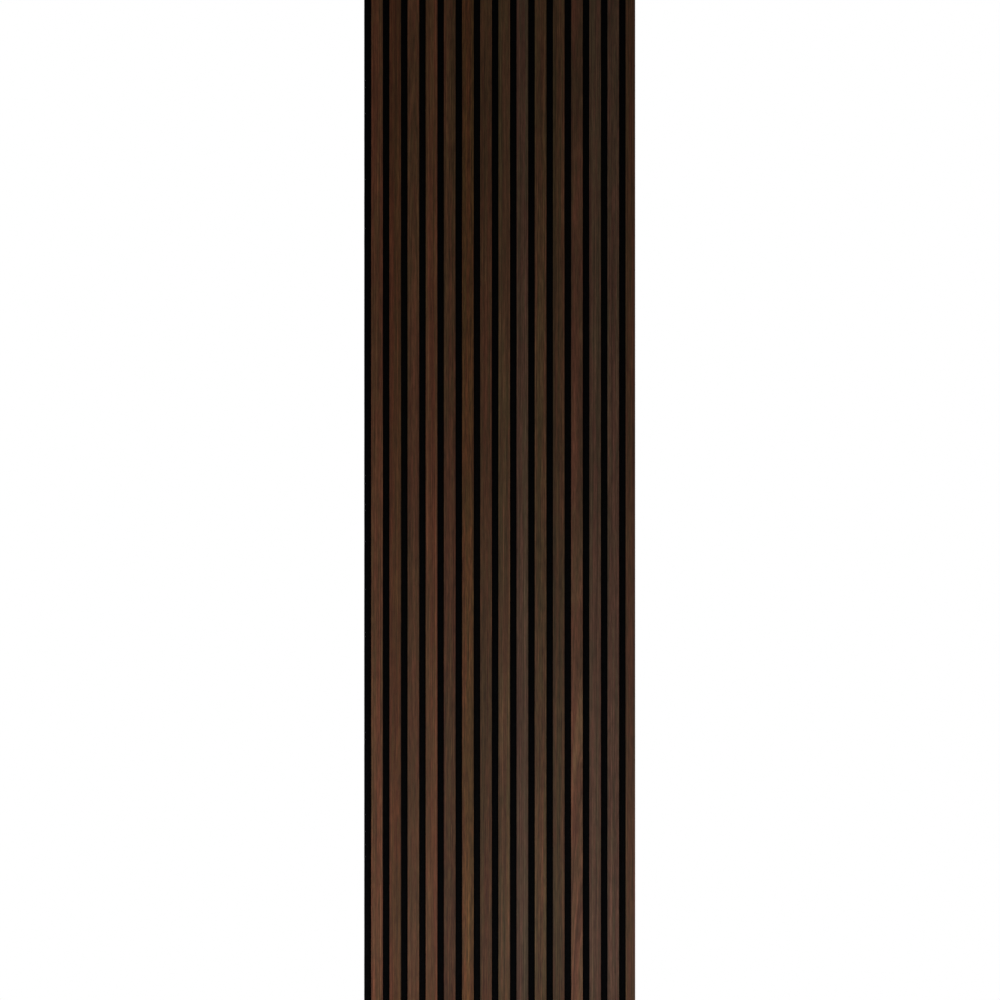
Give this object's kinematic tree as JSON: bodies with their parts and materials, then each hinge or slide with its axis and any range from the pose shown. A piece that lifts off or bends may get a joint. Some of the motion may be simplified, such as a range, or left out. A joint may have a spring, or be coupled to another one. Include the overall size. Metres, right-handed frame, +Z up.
{
  "type": "acoustic slat panel",
  "caption": "Flat wall panel of parallel dark wood-veneered slats stapled to a black felt backing, which absorbs sound through the slots between the slats.",
  "frame": {"origin": "centre of the felt's back face, which lies against the wall", "axes": "+X across the slats, to the right seen from the front; +Y back into the wall; +Z up, along the slats"},
  "size_m": [0.6, 0.021, 2.4],
  "materials": {
    "veneer": "dark walnut veneer, matt lacquer",
    "slat_core": "black through-dyed MDF",
    "felt": "black needle-punched polyester felt",
    "staple_wire": "galvanised wire"
  },
  "bodies": {
    "root": {"felt_backing": "felt", "slat_core_01": "slat_core", "slat_core_02": "slat_core", "slat_core_03": "slat_core", "slat_core_04": "slat_core", "slat_core_05": "slat_core", "slat_core_06": "slat_core", "slat_core_07": "slat_core", "slat_core_08": "slat_core", "slat_core_09": "slat_core", "slat_core_10": "slat_core", "slat_core_11": "slat_core", "slat_core_12": "slat_core", "slat_core_13": "slat_core", "slat_core_14": "slat_core", "slat_core_15": "slat_core", "veneer_strip_01": "veneer", "veneer_strip_02": "veneer", "veneer_strip_03": "veneer", "veneer_strip_04": "veneer", "veneer_strip_05": "veneer", "veneer_strip_06": "veneer", "veneer_strip_07": "veneer", "veneer_strip_08": "veneer", "veneer_strip_09": "veneer", "veneer_strip_10": "veneer", "veneer_strip_11": "veneer", "veneer_strip_12": "veneer", "veneer_strip_13": "veneer", "veneer_strip_14": "veneer", "veneer_strip_15": "veneer", "staples": "staple_wire"}
  },
  "joints": []
}
